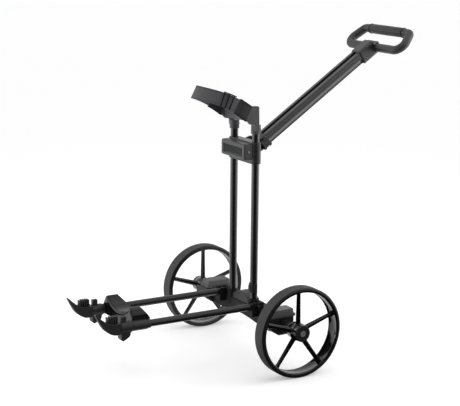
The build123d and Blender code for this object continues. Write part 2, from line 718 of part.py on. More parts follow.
with BuildPart() as cuff:
    rod_y(lower_x, lower_z, 19.0, cuff_rear, cuff_front)
    slab_x([
        (cuff_rear - 4, lower_z - 8), (cuff_rear - 8, lower_z - 28), (cuff_rear - 20, lower_z - 36),
        (cuff_front + 5, lower_z - 42), (cuff_front, lower_z - 36), (cuff_front, lower_z - 8)],
        lower_x - 13, lower_x + 13)
    block(lower_x - 6, lower_x + 6, cuff_front + 3, cuff_rear - 18, lower_z + 15, lower_z + 36)
    fillet(cuff.edges().filter_by(Axis.X).group_by(Axis.Z)[0], 4.0)
    fillet(cuff.edges().filter_by(GeomType.CIRCLE).group_by(Axis.Y)[-1], 2.0)
    rod_y(lower_x, lower_z, lower_r + fit, cuff_rear + 1, cuff_front - 1, Mode.SUBTRACT)
save_pair(cuff.part, "cuff")

with BuildPart() as claw:
    tip_y = cuff_front - 82.0
    tip_z = lower_z + 54.0
    with BuildSketch(plane_x(lower_x - 20)) as horn:
        with BuildLine():
            Spline(
                (cuff_front, lower_z + 19), (cuff_front - 12, lower_z + 18),
                (cuff_front - 38, lower_z + 20), (cuff_front - 57, lower_z + 31), (tip_y, tip_z))
            Line((tip_y, tip_z), (tip_y - 3, tip_z - 3))
            Spline(
                (tip_y - 3, tip_z - 3), (cuff_front - 70, lower_z + 24), (cuff_front - 57, lower_z + 4),
                (cuff_front - 38, lower_z - 12), (cuff_front, lower_z - 16))
            Line((cuff_front, lower_z - 16), (cuff_front, lower_z + 19))
        make_face()
    extrude(horn.sketch, amount=40)
    with BuildSketch(Plane.XY) as plan:
        with BuildLine():
            Spline((lower_x + 16, cuff_front), (lower_x + 14, cuff_front - 40), (lower_x + 5, tip_y - 4))
            Line((lower_x + 5, tip_y - 4), (lower_x - 5, tip_y - 4))
            Spline((lower_x - 5, tip_y - 4), (lower_x - 14, cuff_front - 40), (lower_x - 16, cuff_front))
            Line((lower_x - 16, cuff_front), (lower_x + 16, cuff_front))
        make_face()
    extrude(plan.sketch, amount=2 * lower_z, mode=Mode.INTERSECT)
    fillet(claw.edges().filter_by(lambda e: e.length > 60), 1.5)
save_pair(claw.part, "claw")

with BuildPart() as claw_pad:
    block(lower_x - 10, lower_x + 10, cuff_front - 46, cuff_front - 8, lower_z + 12, lower_z + 42)
    fillet(claw_pad.edges().filter_by(Axis.X).group_by(Axis.Z)[-1], 5.0)
    for at in (16.0, 23.0, 30.0, 37.0):
        block(lower_x - 11, lower_x + 11, cuff_front - at - 1.5, cuff_front - at + 1.5,
              lower_z + 35, lower_z + 46, Mode.SUBTRACT)
    add(claw.part, mode=Mode.SUBTRACT)
save_pair(claw_pad.part, "claw_pad")
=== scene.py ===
"""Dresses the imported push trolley: finishes, soft pieces, tyres and a plain studio."""
import json
import math

import bmesh
import bpy
from bpy.props import FloatProperty, FloatVectorProperty, IntProperty, PointerProperty
from mathutils import Matrix, Vector


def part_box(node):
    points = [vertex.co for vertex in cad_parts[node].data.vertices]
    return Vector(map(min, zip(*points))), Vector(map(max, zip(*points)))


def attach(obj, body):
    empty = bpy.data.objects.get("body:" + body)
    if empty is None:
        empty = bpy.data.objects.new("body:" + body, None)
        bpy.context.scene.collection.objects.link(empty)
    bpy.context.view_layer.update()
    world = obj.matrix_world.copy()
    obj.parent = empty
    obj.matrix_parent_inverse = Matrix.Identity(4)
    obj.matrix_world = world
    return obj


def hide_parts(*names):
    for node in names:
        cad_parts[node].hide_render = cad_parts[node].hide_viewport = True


bl_info = {
    "name": "Push trolley looks",
    "version": (1, 0, 0),
    "blender": (4, 5, 0),
    "location": "View3D > Sidebar > Trolley",
    "description": "Finishes and soft pieces for a two-wheeled golf bag trolley",
    "category": "Object",
}

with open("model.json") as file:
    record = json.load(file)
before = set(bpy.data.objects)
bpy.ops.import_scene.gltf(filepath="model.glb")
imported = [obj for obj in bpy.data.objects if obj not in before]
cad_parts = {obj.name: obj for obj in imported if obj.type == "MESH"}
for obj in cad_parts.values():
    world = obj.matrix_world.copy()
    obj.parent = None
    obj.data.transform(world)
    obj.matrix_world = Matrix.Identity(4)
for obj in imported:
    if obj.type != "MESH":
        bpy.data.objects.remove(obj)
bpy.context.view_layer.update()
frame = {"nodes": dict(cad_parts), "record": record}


def node_size(node):
    lo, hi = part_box(node)
    return hi - lo


def node_middle(node):
    lo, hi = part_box(node)
    return (lo + hi) / 2


def length(label, text, value):
    return FloatProperty(
        name=label, description=text, default=value, min=0.0, subtype="DISTANCE", unit="LENGTH")


def level(label, text, value, **more):
    return FloatProperty(name=label, description=text, default=value, min=0.0, **more)


def colour(label, text, value):
    return FloatVectorProperty(
        name=label, description=text, default=value, size=3, min=0.0, max=1.0, subtype="COLOR")


class WheelSettings(bpy.types.PropertyGroup):
    """Sizes of the tyre tread and the spokes."""
    rib_count: IntProperty(name="Tread ribs", description="Ribs round the tread", default=11, min=1)
    rib_depth: length("Rib depth", "Depth of the grooves between the ribs", 0.0011)
    spoke_count: IntProperty(name="Spokes", description="Spokes in each wheel", default=5, min=3)
    spoke_foot: length("Spoke foot", "Width of a spoke at the hub", 0.019)
    spoke_tip: length("Spoke tip", "Width of a spoke at the rim", 0.0155)
    spoke_depth: length("Spoke depth", "Thickness of a spoke along the axle", 0.017)


class StrapSettings(bpy.types.PropertyGroup):
    """Sizes of the bag strap."""
    width: length("Strap width", "Width of the webbing", 0.0446)
    thickness: length("Strap thickness", "Thickness of the webbing", 0.0034)
    stitch: length("Stitch", "Length of one stitch", 0.0042)


class FinishSettings(bpy.types.PropertyGroup):
    """Colours of the finishes."""
    tube: colour("Tubes", "Black anodised tubes", (0.006, 0.006, 0.0065))
    plastic: colour("Mouldings", "Grained black mouldings and claws", (0.011, 0.011, 0.0118))
    beam: colour("Beam", "Axle beam, hinge blocks and buckle", (0.006, 0.006, 0.0065))
    cover: colour("Cover", "Front of the clamp box", (0.032, 0.032, 0.0336))
    yoke: colour("Yoke", "Grey-black yoke and ears", (0.050, 0.050, 0.052))
    gloss: colour("Gloss", "Polished black mouldings", (0.003, 0.003, 0.0034))
    tyre: colour("Tyres", "Matte tyre rubber", (0.070, 0.070, 0.072))
    loop: colour("Handle loop", "Moulded loop", (0.025, 0.025, 0.0265))
    sidewall: colour("Sidewalls", "Smooth sides of the tyres", (0.006, 0.006, 0.0065))
    bonnet: colour("Bonnets", "Covers beside the wheels", (0.078, 0.078, 0.080))
    grip: colour("Grip", "Soft grip on the handle bar", (0.022, 0.022, 0.0233))
    shaft: colour("Shaft", "Black anodised handle shaft", (0.011, 0.011, 0.0117))
    block: colour("Block", "Handle block and clamp body", (0.015, 0.015, 0.016))
    lining: colour("Lining", "Grey rubber lining of the cradle", (0.075, 0.074, 0.080))
    soft: colour("Soft rubber", "Strap mounts and stitches", (0.016, 0.016, 0.0173))
    webbing: colour("Webbing", "Woven strap", (0.054, 0.053, 0.058))
    steel: colour("Steel", "Bare steel fasteners", (0.24, 0.24, 0.247))
    pads: colour("Pads", "Ribbed rubber pads of the claws", (0.022, 0.022, 0.0233))
    pins: colour("Pins", "Darkened steel of the hinge pins", (0.035, 0.035, 0.037))
    panel: colour("Panel", "Bare plate on the clamp", (0.005, 0.005, 0.0055))
    button: colour("Buttons", "Release buttons in the hubs", (0.09, 0.09, 0.092))


class StageSettings(bpy.types.PropertyGroup):
    """Studio floor and light."""
    floor: colour("Floor", "Colour of the floor", (0.97, 0.97, 0.97))
    key: level("Key", "Strength of the broad overhead light", 0.60)
    ambient: level("Ambient", "Light from all round", 0.50)
    lift: level("Lift", "Extra white of the floor in the picture", 0.31)
    side_power: level("Sides", "Power of a side lamp", 18.0, unit="POWER")


# Shader groups

def group_node(tree, kind, x, y, **values):
    node = tree.nodes.new(kind)
    node.location = (x, y)
    for key, value in values.items():
        setattr(node, key, value)
    return node


def shader_group(name, inputs, outputs):
    """Empty shader group with float sockets."""
    tree = bpy.data.node_groups.new(name, "ShaderNodeTree")
    for label, value in inputs:
        socket = tree.interface.new_socket(label, in_out="INPUT", socket_type="NodeSocketFloat")
        socket.default_value = value
    for label in outputs:
        tree.interface.new_socket(label, in_out="OUTPUT", socket_type="NodeSocketFloat")
    return tree, group_node(tree, "NodeGroupInput", -900, 0), group_node(tree, "NodeGroupOutput", 700, 0)


def grain_group():
    """Spark-eroded grain of mouldings, with a slow change of tone."""
    tree, entry, out = shader_group(
        "moulded_grain", [("Grain", 900.0), ("Patch", 9.0)], ["Height", "Tone"])
    where = group_node(tree, "ShaderNodeTexCoord", -700, 200)
    grain = group_node(tree, "ShaderNodeTexNoise", -400, 250)
    grain.inputs["Detail"].default_value = 3.0
    pits = group_node(tree, "ShaderNodeTexVoronoi", -400, 0, feature="SMOOTH_F1")
    patch = group_node(tree, "ShaderNodeTexNoise", -400, -300)
    patch.inputs["Detail"].default_value = 4.0
    joined = group_node(tree, "ShaderNodeMath", 0, 150, operation="MULTIPLY_ADD")
    joined.inputs[1].default_value = 0.6
    for texture in (grain, pits, patch):
        tree.links.new(where.outputs["Object"], texture.inputs["Vector"])
    tree.links.new(entry.outputs["Grain"], grain.inputs["Scale"])
    tree.links.new(entry.outputs["Grain"], pits.inputs["Scale"])
    tree.links.new(entry.outputs["Patch"], patch.inputs["Scale"])
    tree.links.new(grain.outputs["Fac"], joined.inputs[0])
    tree.links.new(pits.outputs["Distance"], joined.inputs[2])
    tree.links.new(joined.outputs[0], out.inputs["Height"])
    tree.links.new(patch.outputs["Fac"], out.inputs["Tone"])
    return tree


def streak_group():
    """Fine drawn lines along one axis: the other two scales are larger."""
    tree, entry, out = shader_group(
        "drawn_streaks", [("X", 600.0), ("Y", 600.0), ("Z", 6.0)], ["Height", "Tone"])
    where = group_node(tree, "ShaderNodeTexCoord", -700, 200)
    scale = group_node(tree, "ShaderNodeCombineXYZ", -700, -100)
    spread = group_node(tree, "ShaderNodeVectorMath", -450, 100, operation="MULTIPLY")
    lines = group_node(tree, "ShaderNodeTexNoise", -200, 150)
    lines.inputs["Scale"].default_value = 1.0
    lines.inputs["Detail"].default_value = 3.0
    patch = group_node(tree, "ShaderNodeTexNoise", -200, -150)
    patch.inputs["Scale"].default_value = 14.0
    tree.links.new(where.outputs["Object"], spread.inputs[0])
    tree.links.new(scale.outputs[0], spread.inputs[1])
    for label in "XYZ":
        tree.links.new(entry.outputs[label], scale.inputs[label])
    tree.links.new(spread.outputs[0], lines.inputs["Vector"])
    tree.links.new(where.outputs["Object"], patch.inputs["Vector"])
    tree.links.new(lines.outputs["Fac"], out.inputs["Height"])
    tree.links.new(patch.outputs["Fac"], out.inputs["Tone"])
    return tree


def scuff_group():
    """Faint handling marks: thin stretched specks."""
    tree, entry, out = shader_group("handling_marks", [("Scale", 60.0), ("Amount", 0.62)], ["Mask"])
    where = group_node(tree, "ShaderNodeTexCoord", -900, 100)
    turn = group_node(tree, "ShaderNodeMapping", -700, 100)
    turn.inputs["Rotation"].default_value = (0.5, 0.3, 0.8)
    turn.inputs["Scale"].default_value = (1.0, 9.0, 3.0)
    marks = group_node(tree, "ShaderNodeTexNoise", -450, 100)
    marks.inputs["Detail"].default_value = 6.0
    marks.inputs["Roughness"].default_value = 0.65
    cut = group_node(tree, "ShaderNodeMapRange", -150, 100)
    cut.inputs["From Max"].default_value = 0.85
    tree.links.new(where.outputs["Object"], turn.inputs["Vector"])
    tree.links.new(turn.outputs[0], marks.inputs["Vector"])
    tree.links.new(entry.outputs["Scale"], marks.inputs["Scale"])
    tree.links.new(entry.outputs["Amount"], cut.inputs["From Min"])
    tree.links.new(marks.outputs["Fac"], cut.inputs["Value"])
    tree.links.new(cut.outputs[0], out.inputs["Mask"])
    return tree


def weave_group():
    """Plain weave on a piece's own UV map, which is in metres. Thread is 1 on the crest of each warp thread
    and 0 in the grooves between threads; the strap uses it for a painted highlight on the crests and
    painted shade in the grooves.
    """
    tree, entry, out = shader_group(
        "webbing_weave", [("Warp", 520.0), ("Weft", 380.0)], ["Height", "Thread"])
    where = group_node(tree, "ShaderNodeUVMap", -900, 100, uv_map="UVMap")
    split = group_node(tree, "ShaderNodeSeparateXYZ", -720, 100)
    tree.links.new(where.outputs[0], split.inputs[0])
    waves = []
    for label, axis, y in (("Weft", "X", 250), ("Warp", "Y", -150)):
        count = group_node(tree, "ShaderNodeMath", -520, y, operation="MULTIPLY")
        turn = group_node(tree, "ShaderNodeMath", -340, y, operation="MULTIPLY")
        turn.inputs[1].default_value = math.tau / 2
        wave = group_node(tree, "ShaderNodeMath", -160, y, operation="SINE")
        tree.links.new(split.outputs[axis], count.inputs[0])
        tree.links.new(entry.outputs[label], count.inputs[1])
        tree.links.new(count.outputs[0], turn.inputs[0])
        tree.links.new(turn.outputs[0], wave.inputs[0])
        waves.append(wave)
    over = group_node(tree, "ShaderNodeMath", 60, 150, operation="MULTIPLY")
    lift = group_node(tree, "ShaderNodeMath", 240, 150, operation="MULTIPLY_ADD")
    lift.inputs[1].default_value = 0.5
    lift.inputs[2].default_value = 0.5
    # Crest of each warp thread, 0 in the grooves between: drives a painted highlight and painted shade of
    # the weave
    ridge = group_node(tree, "ShaderNodeMath", 60, -150, operation="ABSOLUTE")
    tree.links.new(waves[0].outputs[0], over.inputs[0])
    tree.links.new(waves[1].outputs[0], over.inputs[1])
    tree.links.new(over.outputs[0], lift.inputs[0])
    tree.links.new(waves[1].outputs[0], ridge.inputs[0])
    tree.links.new(lift.outputs[0], out.inputs["Height"])
    tree.links.new(ridge.outputs[0], out.inputs["Thread"])
    return tree


def shared_group(name, make):
    return bpy.data.node_groups.get(name) or make()


# Finishes

class Finish:
    """A material with its Principled shader and a few shared groups."""

    def __init__(self, name, base, roughness, metallic=0.0, sheen=0.0, specular=0.5):
        self.material = bpy.data.materials.new(name)
        self.material.use_nodes = True
        self.tree = self.material.node_tree
        self.shader = self.tree.nodes["Principled BSDF"]
        self.base = base
        values = {
            "Base Color": (*base, 1.0), "Roughness": roughness, "Metallic": metallic,
            "Sheen Weight": sheen, "Specular IOR Level": specular}
        for label, value in values.items():
            self.shader.inputs[label].default_value = value

    def group(self, name, make, x, y, **values):
        node = group_node(self.tree, "ShaderNodeGroup", x, y)
        node.node_tree = shared_group(name, make)
        for label, value in values.items():
            node.inputs[label].default_value = value
        return node

    def vary(self, socket, low, high):
        """Roughness runs from low to high with a value."""
        spread = group_node(self.tree, "ShaderNodeMapRange", -320, -150)
        spread.inputs["From Min"].default_value = 0.3
        spread.inputs["From Max"].default_value = 0.7
        spread.inputs["To Min"].default_value = low
        spread.inputs["To Max"].default_value = high
        self.tree.links.new(socket, spread.inputs["Value"])
        self.tree.links.new(spread.outputs[0], self.shader.inputs["Roughness"])
        return spread

    def tint(self, socket, strength, shade=None):
        """Base colour drifts towards a lighter shade with a value."""
        mix = group_node(self.tree, "ShaderNodeMix", -320, 250, data_type="RGBA")
        lighter = shade or tuple(min(1.0, c * (1.0 + strength)) for c in self.base)
        mix.inputs["A"].default_value = (*self.base, 1.0)
        mix.inputs["B"].default_value = (*lighter, 1.0)
        self.tree.links.new(socket, mix.inputs["Factor"])
        self.tree.links.new(mix.outputs["Result"], self.shader.inputs["Base Color"])

    def bump(self, socket, distance, strength):
        """Fine relief from a height."""
        bump = group_node(self.tree, "ShaderNodeBump", -320, -420)
        bump.inputs["Strength"].default_value = strength
        bump.inputs["Distance"].default_value = distance
        self.tree.links.new(socket, bump.inputs["Height"])
        self.tree.links.new(bump.outputs[0], self.shader.inputs["Normal"])


def moulded(name, base, low, high, grain=900.0, depth=0.00006, drift=0.5, specular=0.4):
    """Moulded plastic or rubber with a fine grain."""
    finish = Finish(name, base, low, specular=specular)
    skin = finish.group("moulded_grain", grain_group, -700, 0, Grain=grain)
    finish.vary(skin.outputs["Tone"], low, high)
    finish.tint(skin.outputs["Tone"], drift)
    finish.bump(skin.outputs["Height"], depth, 0.6)


def drawn_tube(name, base, scales, low=0.2, high=0.3, specular=0.7):
    """Anodised tube with drawn lines."""
    finish = Finish(name, base, low, specular=specular)
    skin = finish.group("drawn_streaks", streak_group, -700, 0, X=scales[0], Y=scales[1], Z=scales[2])
    finish.vary(skin.outputs["Height"], low, high)
    finish.tint(skin.outputs["Tone"], 0.6)
    finish.bump(skin.outputs["Height"], 0.00002, 0.35)


def polished(name, base, rough=0.10, worn=0.30, specular=0.5):
    """Glossy moulding with handling marks."""
    finish = Finish(name, base, rough, specular=specular)
    marks = finish.group("handling_marks", scuff_group, -700, 0)
    spread = finish.vary(marks.outputs["Mask"], rough, worn)
    spread.inputs["From Min"].default_value = 0.0
    spread.inputs["From Max"].default_value = 1.0
    finish.tint(marks.outputs["Mask"], 0.0, tuple(c * 2.2 + 0.004 for c in base))


def turned_steel(name, base):
    """Machined steel."""
    finish = Finish(name, base, 0.28, metallic=1.0)
    skin = finish.group("drawn_streaks", streak_group, -700, 0, X=2500.0, Y=120.0, Z=120.0)
    finish.vary(skin.outputs["Height"], 0.2, 0.42)
    finish.tint(skin.outputs["Tone"], 0.15)
    finish.bump(skin.outputs["Height"], 0.00002, 0.3)


def tyre_rubber(name, base):
    """Matte rubber of the tread."""
    finish = Finish(name, base, 0.62, specular=0.2)
    skin = finish.group("moulded_grain", grain_group, -700, 0, Grain=420.0, Patch=16.0)
    finish.vary(skin.outputs["Tone"], 0.52, 0.74)
    finish.tint(skin.outputs["Tone"], 0.55)
    finish.bump(skin.outputs["Height"], 0.00016, 0.7)


def webbing(name, base):
    """Woven strap on its own UV map."""
    finish = Finish(name, base, 0.72, sheen=0.06, specular=0.15)
    cloth = finish.group("webbing_weave", weave_group, -700, 0)
    # Painted highlight and painted shade: the colour is lighter along the crest of each thread and darker
    # in the grooves between threads
    finish.tint(cloth.outputs["Thread"], 1.3)
    finish.bump(cloth.outputs["Height"], 0.00035, 0.9)
    finish.vary(cloth.outputs["Thread"], 0.62, 0.85)


def finishes():
    """All materials by name, built once."""
    kept = bpy.data.materials
    if "tube_finish_z" not in kept:
        look = bpy.context.scene.trolley_finish
        drawn_tube("tube_finish_y", tuple(look.tube), (500, 5, 500), specular=0.42)
        drawn_tube("tube_finish_z", tuple(look.tube), (500, 500, 5))
        drawn_tube("shaft_finish", tuple(look.shaft), (500, 60, 60), 0.24, 0.36, 0.6)
        moulded("moulded_finish", tuple(look.plastic), 0.42, 0.56)
        moulded("beam_finish", tuple(look.beam), 0.46, 0.6, specular=0.12)
        moulded("claw_finish", tuple(look.plastic), 0.46, 0.6, grain=700.0, depth=0.00009)
        moulded("cover_finish", tuple(look.cover), 0.38, 0.5, grain=1100.0)
        moulded("yoke_finish", tuple(look.yoke), 0.42, 0.56)
        moulded("loop_finish", tuple(look.loop), 0.4, 0.54, grain=800.0)
        moulded("grip_finish", tuple(look.grip), 0.5, 0.64, grain=650.0, depth=0.0001)
        moulded("block_finish", tuple(look.block), 0.32, 0.46, specular=0.5)
        moulded("lining_finish", tuple(look.lining), 0.4, 0.54, grain=650.0, depth=0.0001)
        moulded("clamp_finish", tuple(look.block), 0.3, 0.42)
        moulded("soft_finish", tuple(look.soft), 0.56, 0.7, grain=650.0, depth=0.0001, specular=0.2)
        moulded("button_finish", tuple(look.button), 0.3, 0.42, specular=0.5)
        moulded("pad_finish", tuple(look.pads), 0.5, 0.64, grain=650.0, depth=0.0001, specular=0.3)
        polished("gloss_finish", tuple(look.gloss))
        polished("saddle_finish", tuple(look.gloss), 0.16, 0.3, 0.25)
        polished("rim_finish", tuple(look.gloss), 0.09, 0.24)
        polished("panel_finish", tuple(look.panel), 0.22, 0.4, 0.12)
        tyre_rubber("tyre_finish", tuple(look.tyre))
        moulded("sidewall_finish", tuple(look.sidewall), 0.34, 0.46, grain=500.0, specular=0.25)
        moulded("cap_finish", tuple(look.plastic), 0.2, 0.3, grain=1500.0, depth=0.00002, specular=0.3)
        moulded("bonnet_finish", tuple(look.bonnet), 0.4, 0.54)
        webbing("webbing_finish", tuple(look.webbing))
        turned_steel("steel_finish", tuple(look.steel))
        turned_steel("pin_finish", tuple(look.pins))
    return kept


# Mesh helpers

def loop_of(bm, points, closed=True):
    """Edges through a few points."""
    verts = [bm.verts.new(p) for p in points]
    ends = verts[1:] + verts[:1] if closed else verts[1:]
    edges = [bm.edges.new(pair) for pair in zip(verts, ends)]
    return verts + edges


def spin_loop(bm, points, centre, axis, steps, angle=math.tau):
    """Turn a closed outline round an axis: a full turn joins up, a part turn gets its ends filled."""
    geom = loop_of(bm, points)
    full = angle == math.tau
    bmesh.ops.spin(
        bm, geom=geom, cent=centre, axis=axis, dvec=(0, 0, 0), angle=angle, steps=steps,
        use_merge=full, use_duplicate=False)
    if not full:
        bmesh.ops.holes_fill(bm, edges=[e for e in bm.edges if e.is_boundary], sides=0)


def soften(bm, edges, offset, segments=2):
    bmesh.ops.bevel(
        bm, geom=list(edges), offset=offset, offset_type="OFFSET", affect="EDGES", segments=segments,
        profile=0.5, material=-1, clamp_overlap=True)


def brick(bm, matrix, size):
    """Box of a size placed by a matrix; returns its vertices."""
    made = bmesh.ops.create_cube(bm, size=1.0, matrix=matrix @ Matrix.Diagonal((*size, 1.0)))
    return made["verts"]


def ring_stack(bm, rings):
    """Closed shape through circles given as (matrix, radius, sides); returns the edges between them."""
    loops = []
    for matrix, radius, sides in rings:
        made = bmesh.ops.create_circle(bm, cap_ends=False, segments=sides, radius=radius, matrix=matrix)
        loops.append(list(edges_of(made["verts"])))
    rails = []
    for low, high in zip(loops, loops[1:]):
        rails += bmesh.ops.bridge_loops(bm, edges=low + high)["edges"]
    for end in (loops[0], loops[-1]):
        bmesh.ops.edgeloop_fill(bm, edges=end)
    return rails


def edges_of(verts):
    return {e for v in verts for e in v.link_edges}


def placed(name, bm, material):
    """Object at the origin with the shape of a bmesh, put in the scene."""
    mesh = bpy.data.meshes.new(name)
    bm.to_mesh(mesh)
    bm.free()
    mesh.materials.append(material)
    piece = bpy.data.objects.new(name, mesh)
    bpy.context.scene.collection.objects.link(piece)
    return piece


def finished(name, bm, material, body, nodes=(), sharp=40.0, uv=None):
    """Close the mesh, shade it and hang it on its body."""
    bmesh.ops.remove_doubles(bm, verts=bm.verts, dist=1e-6)
    bmesh.ops.recalc_face_normals(bm, faces=bm.faces)
    limit = math.radians(sharp)
    for face in bm.faces:
        face.smooth = True
    for edge in bm.edges:
        edge.smooth = len(edge.link_faces) != 2 or edge.calc_face_angle(0.0) < limit
    if uv:
        layer = bm.loops.layers.uv.new("UVMap")
        for face in bm.faces:
            for corner in face.loops:
                corner[layer].uv = uv(corner.vert.co)
    piece = placed(name, bm, finishes()[material])
    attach(piece, body)
    if nodes:
        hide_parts(*nodes)
    return piece


SIDES = (("left", 1.0), ("right", -1.0))
ACROSS = Vector((1.0, 0.0, 0.0))


# Wheels

def tyre_outline(half, radius, height, ribs, depth):
    """Tyre section as (along axle, radius) pairs, with a groove between each two ribs."""
    inner = radius - height
    side = [(half - 0.0006, inner), (half, inner + 0.003), (half - 0.0002, radius - 0.0062),
            (half - 0.0014, radius - 0.0028), (half - 0.0036, radius - 0.0008)]
    tread = 2 * (half - 0.0052)
    pitch = tread / ribs
    crown = []
    for i in range(ribs + 1):
        at = -tread / 2 + i * pitch
        crown += [(at - 0.24 * pitch, radius), (at - 0.14 * pitch, radius - depth),
                  (at + 0.14 * pitch, radius - depth), (at + 0.24 * pitch, radius)]
    return [(-x, r) for x, r in side] + crown[2:-2] + [(x, r) for x, r in reversed(side)]


class TROLLEY_OT_tyres(bpy.types.Operator):
    """Ribbed tyres spun round the axle"""
    bl_idname = "trolley.tyres"
    bl_label = "Tyres"

    def execute(self, context):
        sizes = context.scene.trolley_wheels
        for side, _ in SIDES:
            node = "tyre_" + side
            middle, size = node_middle(node), node_size(node)
            rim = node_size("rim_" + side)
            outline = tyre_outline(
                size.x / 2, size.z / 2, (size.z - rim.z) / 2, sizes.rib_count, sizes.rib_depth)
            bm = bmesh.new()
            points = [middle + Vector((x, 0.0, r)) for x, r in outline]
            spin_loop(bm, points, middle, ACROSS, 128)
            for face in bm.faces:
                face.normal_update()
                face.material_index = 1 if abs(face.normal.x) > 0.6 and (
                    face.calc_center_median() - middle).yz.length < size.z / 2 - 0.0015 else 0
            piece = finished(
                "ribbed_" + node, bm, "tyre_finish", side + "_wheel", [node], sharp=50.0)
            piece.data.materials.append(finishes()["sidewall_finish"])
        return {"FINISHED"}


class TROLLEY_OT_rims(bpy.types.Operator):
    """Rims with hub drums and ridged spokes"""
    bl_idname = "trolley.rims"
    bl_label = "Rims"

    def execute(self, context):
        sizes = context.scene.trolley_wheels
        for side, _ in SIDES:
            node = "rim_" + side
            middle, size = node_middle(node), node_size(node)
            edge = size.z / 2
            half = node_size("tyre_" + side).x / 2 - 0.0005
            hub_half = size.x / 2
            hub_r = node_size("hub_cap_" + side).z / 2
            bore = node_size("hub_bearings_" + side).z / 2
            bm = bmesh.new()
            lip = [(half - 0.0056, edge - 0.0030), (half - 0.0034, edge - 0.0043),
                   (half - 0.0012, edge - 0.0038), (half, edge - 0.0020), (half, edge)]
            barrel = [(-x, r) for x, r in reversed(lip)] + lip
            drum = [(-hub_half, bore), (-hub_half, hub_r - 0.002), (-hub_half + 0.002, hub_r),
                    (-0.012, hub_r), (-0.010, hub_r + 0.0015), (0.010, hub_r + 0.0015),
                    (0.012, hub_r), (hub_half - 0.002, hub_r), (hub_half, hub_r - 0.002),
                    (hub_half, bore)]
            for outline, steps in ((barrel, 128), (drum, 64)):
                spin_loop(bm, [middle + Vector((x, 0.0, r)) for x, r in outline], middle, ACROSS, steps)
            for i in range(sizes.spoke_count):
                turn = Matrix.Rotation(math.tau * i / sizes.spoke_count, 4, "X")
                self.spoke(bm, Matrix.Translation(middle) @ turn, hub_r - 0.001, edge - 0.0032, sizes)
            finished("spoked_" + node, bm, "rim_finish", side + "_wheel", [node])
        return {"FINISHED"}

    def spoke(self, bm, place, foot, tip, sizes):
        """Six-sided bar from the hub to the rim, with a flare at each end."""
        thin, broad = sizes.spoke_tip, sizes.spoke_foot
        stations = ((foot, broad * 1.1, 1.0), (foot + 0.008, broad, 0.95), (tip - 0.012, thin, 0.72),
                    (tip, thin * 1.3, 0.9))
        rings = [(place @ Matrix.Translation((0.0, 0.0, at)) @ Matrix.Diagonal(
            (sizes.spoke_depth * deep / 2, wide / 2, 1.0, 1.0)), 1.0, 6) for at, wide, deep in stations]
        rails = ring_stack(bm, rings)
        soften(bm, rails, 0.0011, 2)


# Strap and cradle: the loop leans forward, and seen from the side it arches along a bow

LOOP_HALF = 0.084
EAR_HALF = 0.080
LEAN = math.radians(28.0)
STRAP_AT = Vector((0.0, -0.0545, 0.8190))
STRAP_UP = Vector((0.0, math.sin(LEAN), math.cos(LEAN)))
STRAP_AHEAD = Vector((0.0, -math.cos(LEAN), math.sin(LEAN)))
MOUNT_REACH, RING_REACH = 0.0506, 0.0746
BOW_AT, BOW_R = Vector((0.0, -0.2910, 0.5055)), 0.3926
STRAP_RUN = RING_REACH - MOUNT_REACH
STRAP_ARC = math.pi * LOOP_HALF
STRAP_LENGTH = 2 * STRAP_RUN + STRAP_ARC


def strap_point(x, ahead, up=0.0):
    """Point of the leaning strap that lies on its arch, seen from the side."""
    foot = STRAP_AT + STRAP_AHEAD * ahead
    rel = foot - BOW_AT
    part = rel.dot(STRAP_UP)
    rise = math.sqrt(part * part - rel.length_squared + (BOW_R + up) ** 2) - part
    return foot + STRAP_UP * rise + Vector((x, 0.0, 0.0))


def strap_uv(point):
    """Length along the strap and height across it, in metres."""
    flat = Vector((0.0, point.y, point.z))
    up = (flat - BOW_AT).length - BOW_R
    ahead = (flat - STRAP_AT).dot(STRAP_AHEAD)
    if ahead > RING_REACH:
        along = STRAP_RUN + LOOP_HALF * math.atan2(ahead - RING_REACH, -point.x)
    elif point.x < 0:
        along = ahead - MOUNT_REACH
    else:
        along = STRAP_RUN + STRAP_ARC + RING_REACH - ahead
    return along, up


def strap_spot(along, up, lift):
    """Point at a length along the strap, lifted off its middle, and the direction outwards."""
    if along < STRAP_RUN:
        x, ahead, out = -LOOP_HALF, MOUNT_REACH + along, (-1.0, 0.0)
    elif along > STRAP_RUN + STRAP_ARC:
        x, ahead, out = LOOP_HALF, RING_REACH - (along - STRAP_RUN - STRAP_ARC), (1.0, 0.0)
    else:
        turn = (along - STRAP_RUN) / LOOP_HALF
        out = (-math.cos(turn), math.sin(turn))
        x, ahead = out[0] * LOOP_HALF, RING_REACH + out[1] * LOOP_HALF
    point = strap_point(x + out[0] * lift, ahead + out[1] * lift, up)
    return point, Vector((out[0], 0.0, 0.0)) + STRAP_AHEAD * out[1]


def strap_place(along, up=0.0, lift=0.0):
    """Matrix on the strap: X along it, Z outwards."""
    origin, outward = strap_spot(along, up, lift)
    before, after = (strap_spot(along + step, up, lift)[0] for step in (-0.0005, 0.0005))
    x_axis = (after - before).normalized()
    y_axis = outward.cross(x_axis).normalized()
    matrix = Matrix((x_axis, y_axis, x_axis.cross(y_axis))).transposed().to_4x4()
    matrix.translation = origin
    return matrix


